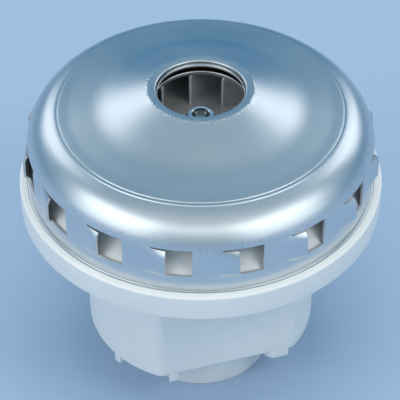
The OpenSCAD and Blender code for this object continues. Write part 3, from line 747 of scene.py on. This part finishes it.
        # the wide foot: round at one end, square at the other
        wide = [(21.5 + 4.9 * math.cos(a), -FL + 5.0 + 4.9 * math.sin(a)) for a in (math.pi / 2 + math.pi * k / 28 for k in range(29))]
        wide += fillet([(21.5, -FL + 0.1), (27.2, -FL + 0.1, 1.6), (27.2, -FL + 9.9, 1.6), (21.5, -FL + 9.9)], 6)[1:-1]
        s.prism(wide, 16.8, 22.4, 0.5, f)
        s.block(-1.6, 1.6, -RH + 0.35, -RH + 2.5, 16.8, 22.4, 0.35, 0.35, f @ spin(-64.7))
    ob = finish_mesh("motor_housing_moulding", s.v, s.f, WHITE, "casing", ("motor_housing",), angle=35)
    bevel(ob, 0.3, 2, 55)
    return ob


build_housing()


# ------------------------------------------------------------------ screws under the flange, with a cross recess
def build_bracket_screws():
    one = Shape()
    head = [(0, 0), (2.2, 0.0), (2.75, 0.12), (3.15, 0.42), (3.4, 0.9), (3.5, 1.5), (3.5, 2.25), (3.4, 2.4), (1.87, 2.4)]
    shank = []
    z = 2.8
    while z < 15.6:                                 # thread
        shank += [(1.87, z), (1.60, z + 0.28), (1.60, z + 0.38), (1.87, z + 0.66)]
        z += 0.8
    one.revolve(head + shank + [(1.3, 16.3), (0, 16.4)], 48)
    cut = Shape()
    cut.add(*cross_recess())
    me = boolean(temp(one), temp(cut))
    s = Shape()
    vs = [v.co / MM for v in me.vertices]
    fs = [tuple(p.vertices) for p in me.polygons]
    for i, (sx, sy) in enumerate(((-1, -1), (-1, 1), (1, -1), (1, 1))):
        s.add(vs, fs, LOCAL @ Matrix.Translation((20 * sx, 44 * sy, 85.5)) @ spin(23 + 67 * i))
    bpy.data.meshes.remove(me)
    return finish_mesh("bracket_screw_set", s.v, s.f, ZINC, "casing", ("bracket_screws",), angle=35)


def cross_recess():
    """A tapering cross as one closed shell, wide end at the head's face."""
    v = []
    for w, l, z in ((0.42, 1.75, -0.5), (0.30, 0.6, 1.5)):
        v += [(x, y, z) for x, y in ((l, -w), (l, w), (w, w), (w, l), (-w, l), (-w, w), (-l, w), (-l, -w), (-w, -w), (-w, -l), (w, -l), (w, -w))]
    f = [(k, (k + 1) % 12, 12 + (k + 1) % 12, 12 + k) for k in range(12)]
    return v, f + [tuple(range(11, -1, -1)), tuple(range(12, 24))]


build_bracket_screws()


# ------------------------------------------------------------------ impeller
def under_front(r):
    return 129.7 - 0.94 - (r - 18.0) * (129.7 - 120.5) / 41.0


def build_impeller():
    s = Shape()
    s.revolve(fillet([(18.0, 129.7, 0.38), (18.0, 128.8, 0.3), (59.0, 119.6, 0.3), (59.0, 120.5, 0.38)], 6), 180)
    # rolled lip round the eye
    s.revolve(fillet([(18.0, 128.9, 0.3), (19.0, 128.7, 0.2), (18.95, 130.3, 0.44), (18.0, 130.4, 0.44)], 6), 144)
    finish_mesh("impeller_front_disc", s.v, s.f, SHROUD, "rotor", ("impeller_front_plate",), angle=45)
    s = Shape()
    s.revolve(fillet([(4.02, 113.0), (59.0, 113.0, 0.35), (59.0, 114.0, 0.35), (4.02, 114.0)], 5), 180)
    finish_mesh("impeller_back_disc", s.v, s.f, IMPELLER, "rotor", ("impeller_back_plate",), angle=45)
    # blades: arcs of one radius, leading edge rounded over at its upper corner
    s = Shape()
    RB, cx, cy = 60.0, -29.0, -36.4

    def hit(rad):
        """Angle on the blade's arc at that distance from the axis."""
        lo, hi = None, None
        best = None
        for k in range(4001):
            a = math.radians(75 - 130 * k / 4000)
            x, y = cx + RB * math.cos(a), cy + RB * math.sin(a)
            d = abs(math.hypot(x, y) - rad)
            if x > 0 and (best is None or d < best[0]):
                best = (d, a)
        return best[1]

    a0, a1 = hit(18.62), hit(58.45)
    n = 34
    stations = []
    length = RB * abs(a1 - a0)
    for k in range(n + 1):
        d = 0.0
        if k <= 10:
            d = 3.0 * (k / 10) ** 1.5
        else:
            d = 3.0 + (length - 3.0) * (k - 10) / (n - 10)
        a = a0 + (a1 - a0) * d / length
        x, y = cx + RB * math.cos(a), cy + RB * math.sin(a)
        r = math.hypot(x, y)
        top = under_front(r + 0.45) - 0.02
        R2 = 2.4
        if d < R2:
            top -= R2 - math.sqrt(max(0.0, R2 * R2 - (R2 - d) ** 2))
        half = 0.5 if d > 0.5 else 0.5 * math.sqrt(max(0.0, 1 - (1 - d / 0.5) ** 2))
        stations.append((a, top, max(half, 0.06)))
    vs, fs = [], []
    for a, top, half in stations:
        ca, sa = math.cos(a), math.sin(a)
        e = min(0.28, half * 0.8)
        for dr, z in ((-half, 114.01), (half, 114.01), (half, top - e), (half - e * 0.3, top - e * 0.3), (half - e, top), (-half + e, top), (-half + e * 0.3, top - e * 0.3), (-half, top - e)):
            vs.append((cx + (RB + dr) * ca, cy + (RB + dr) * sa, z))
    q = 8
    for k in range(n):
        for j in range(q):
            fs.append((k * q + j, k * q + (j + 1) % q, (k + 1) * q + (j + 1) % q, (k + 1) * q + j))
    fs += [tuple(range(q))[::-1], tuple(n * q + j for j in range(q))]
    for k in range(9):
        s.add(vs, fs, spin(63.8 + 40 * k))
    ob = finish_mesh("impeller_blade_set", s.v, s.f, IMPELLER, "rotor", ("impeller_blades",), angle=50)
    # the blades' leading edges and end caps take the pale edge finish, partly a painted highlight
    ob.data.materials.append(EDGE_AND_GLINT)
    each = n * q + 2
    for p in ob.data.polygons:
        if p.index % each < 4 * q or p.index % each == n * q:
            p.material_index = 1


build_impeller()


def build_nut():
    s = Shape()
    n = 96
    flat, z0, z1 = 5.0, 119.4, 123.8

    def hexr(k):
        a = (2 * math.pi * k / n) % (math.pi / 3) - math.pi / 6
        return min(flat / math.cos(a), 5.70)

    rings = []
    rings.append([(3.3, z0)] * n)
    rings.append([(hexr(k) - 0.25, z0) for k in range(n)])
    rings.append([(hexr(k), z0 + 0.2) for k in range(n)])
    # chamfered corners, flat face
    rings.append([(hexr(k), z1 - (hexr(k) - 4.9) * 0.62 - 0.14) for k in range(n)])
    rings.append([(hexr(k) - 0.07, z1 - (hexr(k) - 4.9) * 0.62 - 0.06) for k in range(n)])
    rings.append([(4.93, z1 - 0.02)] * n)
    rings.append([(4.82, z1)] * n)
    rings.append([(3.62, z1)] * n)
    rings.append([(3.5, z1 - 0.04)] * n)
    rings.append([(3.06, z1 - 0.45)] * n)
    rings.append([(3.03, z0 + 0.3)] * n)
    vs = [(r * math.cos(2 * math.pi * k / n), r * math.sin(2 * math.pi * k / n), z) for ring in rings for k, (r, z) in enumerate(ring)]
    m = len(rings)
    fs = [(i * n + k, i * n + (k + 1) % n, ((i + 1) % m) * n + (k + 1) % n, ((i + 1) % m) * n + k) for i in range(m) for k in range(n)]
    s.add(vs, fs)
    finish_mesh("impeller_hex_nut", s.v, s.f, BRIGHT, "rotor", ("impeller_nut",), angle=28)
    # the shaft, with its bearing seats, shoulders and threaded, domed end
    prof = [(0, 5.0), (3.4, 5.0), (3.85, 5.2), (4.0, 5.6), (4.0, 12.6), (4.12, 12.8), (4.8, 12.8), (5.0, 13.0), (5.0, 94.0), (4.8, 94.2), (4.0, 94.2), (4.0, 118.1), (3.8, 118.4), (3.0, 118.4)]
    z = 118.6
    while z < 123.4:
        prof += [(3.0, z), (2.62, z + 0.32), (2.62, z + 0.42), (3.0, z + 0.74)]
        z += 0.9
    prof += [(3.0, 123.75), (2.95, 123.95), (2.8, 124.16), (2.5, 124.4), (2.05, 124.64), (1.5, 124.83), (0.8, 124.955), (0, 125.0)]
    s = Shape()
    s.revolve(prof, 96)
    finish_mesh("rotor_shaft", s.v, s.f, DARK_SHAFT_STEEL, "rotor", ("shaft",), angle=40)


build_nut()


# ------------------------------------------------------------------ terminals
def build_terminals():
    s = Shape()
    s.block(-13, 13, 37.5, 46.5, 27, 41, 1.2, 0.7)
    s.block(-10.9, 10.9, 34.3, 38.3, 30.1, 38.9, 0.4, 0.3)
    cut = Shape()
    for t in (-1, 1):
        cut.prism([(t * 6.5 - 3.2, 30), (t * 6.5 + 3.2, 30), (t * 6.5 + 3.2, 43.0), (t * 6.5 - 3.2, 43.0)], 34.1, 35.0)
        cut.prism([(t * 6.5 - 3.2, 42.1), (t * 6.5 + 3.2, 42.1), (t * 6.5 + 3.2, 43.0), (t * 6.5 - 3.2, 43.0)], 20.0, 34.6)
    base = temp(s)
    me = boolean(base, temp(cut))
    me.transform(LOCAL)
    ob = finish_object("terminal_block_moulding", me, DARK, "casing", ("terminal_block",), angle=35)
    # tabs: bent strip, chamfered tip, one hole
    s = Shape()
    for t in (-1, 1):
        tip = [(-3.15, 34.6), (-3.15, 19.2), (-2.1, 18.0), (2.1, 18.0), (3.15, 19.2), (3.15, 34.6)]
        s.prism(tip, -0.4, 0.4, 0.12, Matrix.Translation((t * 6.5, 42.55, 0)) @ Matrix.Rotation(math.pi / 2, 4, "X"))
        s.block(t * 6.5 - 3.15, t * 6.5 + 3.15, 33.0, 42.9, 34.15, 34.95, 0.15, 0.1)
    cut = Shape()
    for t in (-1, 1):
        cut.revolve([(0, -5), (0.8, -5), (0.8, 5), (0, 5)], 24, Matrix.Translation((t * 6.5, 42.5, 21.5)) @ Matrix.Rotation(math.pi / 2, 4, "X"))
    me = boolean(temp(s), temp(cut))
    me.transform(LOCAL)
    finish_object("terminal_tab_pair", me, BRASS, "casing", ("terminal_tabs",), angle=30)


build_terminals()


# ------------------------------------------------------------------ brush springs and leads
def build_springs():
    for name, turn, joint, body in (("right", 0, "brush_right_slide", "casing"), ("left", 180, "brush_left_slide", "casing")):
        s = Shape()
        turns, per = 6, 28
        k = turns * per
        path = []
        for i in range(k + 1):
            t = i / k
            # closed end coils, open middle
            e = t - 0.045 * math.sin(2 * math.pi * t)
            a = 2 * math.pi * turns * t
            path.append((32.4 + 8.7 * e, 2.4 * math.cos(a), 32.5 + 2.4 * math.sin(a)))
        s.tube(path, 0.35, 12)
        f = LOCAL @ spin(turn)
        ob = finish_mesh("brush_coil_spring_" + name, [tuple(f @ Vector(p)) for p in s.v], s.f, STEEL, body, ("brush_spring_" + name,), angle=60)
        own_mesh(ob)


build_springs()


def build_leads():
    supply = [(6.5, 33, 34.55), (6.5, 31, 34.55), (8.5, 28.5, 35), (13, 25.5, 36), (19, 21, 36.6), (24, 17, 37), (27, 15.4, 38), (28, 15, 39), (28, 15, 40)]
    brush = [(28, -15, 40), (28, -15, 39), (28.6, -15, 37), (30.5, -14, 34.5), (34, -11.6, 33), (37, -8.4, 32.6), (38, -6, 32.5), (38, -3.75, 32.5)]
    s = Shape()
    s.tube(smooth_path(supply), 0.95, 16, True, LOCAL)
    s.tube(smooth_path([(-x, y, z) for x, y, z in supply]), 0.95, 16, True, LOCAL)
    finish_mesh("supply_lead_pair", s.v, s.f, LEAD_RED, "casing", ("supply_leads",), angle=50)
    s = Shape()
    s.tube(smooth_path(brush), 0.95, 16, True, LOCAL)
    s.tube(smooth_path([(-x, y, z) for x, y, z in brush]), 0.95, 16, True, LOCAL)
    finish_mesh("brush_lead_pair", s.v, s.f, LEAD_BLUE, "casing", ("brush_leads",), angle=50)


build_leads()


# ------------------------------------------------------------------ finishes on the carried-over pieces
FINISH = {
    "stator_core": LAMINATION, "armature_core": LAMINATION,
    "field_coil_left": COPPER, "field_coil_right": COPPER, "armature_winding": COPPER,
    "coil_bobbin_left": BOBBIN, "coil_bobbin_right": BOBBIN,
    "stator_screws": ZINC, "bearing_clamp_screws": ZINC, "brush_holder_screws": ZINC,
    "upper_bearing_outer_ring": BEARING, "upper_bearing_inner_ring": BEARING, "upper_bearing_balls": BEARING, "upper_bearing_shields": STEEL, "upper_bearing_cage": CAGE,
    "lower_bearing_outer_ring": BEARING, "lower_bearing_inner_ring": BEARING, "lower_bearing_balls": BEARING, "lower_bearing_shields": STEEL, "lower_bearing_cage": CAGE,
    "bearing_preload_spring": STEEL, "bearing_clamp": ZINC,
    "lower_bearing_boot": RUBBER, "shaft_seal": FELT,
    "brush_holder_left": DARK, "brush_holder_right": DARK, "brush_tube_left": BRASS, "brush_tube_right": BRASS,
    "carbon_brush_left": CARBON, "carbon_brush_right": CARBON,
    "commutator_hub": PHENOLIC, "commutator_bars": BARS, "cooling_fan": DARK,
    "impeller_spacer": STEEL, "impeller_bush": STEEL, "impeller_washer": BRIGHT,
}
for name, mat in FINISH.items():
    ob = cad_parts[name]
    if not ob.material_slots:
        ob.data.materials.append(mat)
    for sl in ob.material_slots:
        sl.material = mat


# ------------------------------------------------------------------ floor, light, camera
def build_stage():
    me = bpy.data.meshes.new("floor")
    me.from_pydata([(-4, -4, 0), (4, -4, 0), (4, 4, 0), (-4, 4, 0)], [], [(0, 1, 2, 3)])
    ob = bpy.data.objects.new("floor", me)
    scene.collection.objects.link(ob)
    m = Mat("floor_paper", 0.0, specular=0.2)
    n = m.noise(3, 3, 0.5)
    m.colour(m.ramp(n, 0.3, 0.7, (0.35, 0.47, 0.625), (0.37, 0.49, 0.645)))
    m.rough(m.fit(n, 0.3, 0.7, 0.85, 0.9))
    me.materials.append(m.mat)

    w = bpy.data.worlds.new("studio")
    w.use_nodes = True
    t = w.node_tree
    bg = t.nodes["Background"]
    # a soft room: paler above and in front, deeper low down behind
    coord = t.nodes.new("ShaderNodeTexCoord")
    dot = t.nodes.new("ShaderNodeVectorMath")
    dot.operation = "DOT_PRODUCT"
    dot.inputs[1].default_value = (0.0, -0.62, 0.785)
    grade = t.nodes.new("ShaderNodeValToRGB")
    fit = t.nodes.new("ShaderNodeMapRange")
    fit.inputs["From Min"].default_value, fit.inputs["From Max"].default_value = -1.0, 1.0
    e = grade.color_ramp.elements
    e[0].position, e[0].color = 0.22, (0.03, 0.22, 0.44, 1)
    e[1].position, e[1].color = 0.84, (0.38, 0.535, 0.645, 1)
    e.new(1.0).color = (0.60, 0.69, 0.75, 1)
    t.links.new(coord.outputs["Generated"], dot.inputs[0])
    t.links.new(dot.outputs["Value"], fit.inputs["Value"])
    t.links.new(fit.outputs["Result"], grade.inputs["Fac"])
    t.links.new(grade.outputs["Color"], bg.inputs["Color"])
    bg.inputs["Strength"].default_value = 0.9
    scene.world = w

    def softbox(name, az, el, dist, sx, sy, radiance, colour=(1, 0.985, 0.955)):
        """A rectangular light seen from the object at that azimuth (0 = front, positive to the right) and elevation."""
        l = bpy.data.lights.new(name, "AREA")
        l.shape = "RECTANGLE"
        l.size, l.size_y = sx, sy
        l.energy = radiance * math.pi * sx * sy
        l.color = colour
        o = bpy.data.objects.new(name, l)
        a, e = math.radians(az), math.radians(el)
        d = Vector((math.sin(a) * math.cos(e), -math.cos(a) * math.cos(e), math.sin(e)))
        target = Vector((0, 0, 0.10))
        o.location = target + d * dist
        o.rotation_euler = (-d).to_track_quat("-Z", "Y").to_euler()
        scene.collection.objects.link(o)
        return o

    softbox("front_left_high", -55, 35.5, 1.3, 1.14, 0.48, 1.72)
    softbox("front_left_low", -55, 13.5, 1.3, 1.14, 0.52, 1.15).visible_diffuse = False
    softbox("front_left_fill", -55, 12, 1.29, 1.12, 0.40, 0.72).visible_glossy = False
    softbox("front_left_core", -55, 37, 1.29, 0.30, 0.28, 3.4).visible_glossy = False
    softbox("front_right_high", 51, 35.5, 1.3, 1.20, 0.48, 1.6).visible_diffuse = False
    softbox("front_right_low", 51, 13.5, 1.3, 1.20, 0.52, 1.0).visible_diffuse = False
    softbox("front_right_fill", 51, 12, 1.29, 1.12, 0.40, 0.26).visible_glossy = False
    softbox("front_right_key", 50, 48, 1.29, 0.46, 0.42, 5.6).visible_glossy = False
    softbox("front_centre", -2, 36, 1.31, 0.56, 0.44, 0.7).visible_diffuse = False
    softbox("back_left", -136, 31, 1.3, 0.66, 0.74, 1.35)
    softbox("back_right", 133, 31, 1.3, 0.72, 0.76, 1.38)
    softbox("overhead", 0, 89, 1.3, 0.90, 0.90, 2.35).visible_glossy = False

    cam = bpy.data.cameras.new("camera")
    cam.lens, cam.sensor_width, cam.sensor_fit = 152.13, 36.0, "HORIZONTAL"
    cam.clip_start, cam.clip_end = 0.05, 20.0
    co = bpy.data.objects.new("camera", cam)
    co.location = (-0.00029, -0.50943, 0.53531)
    co.rotation_euler = (math.radians(90 - 41.872), 0, 0)
    scene.collection.objects.link(co)
    scene.camera = co


build_stage()
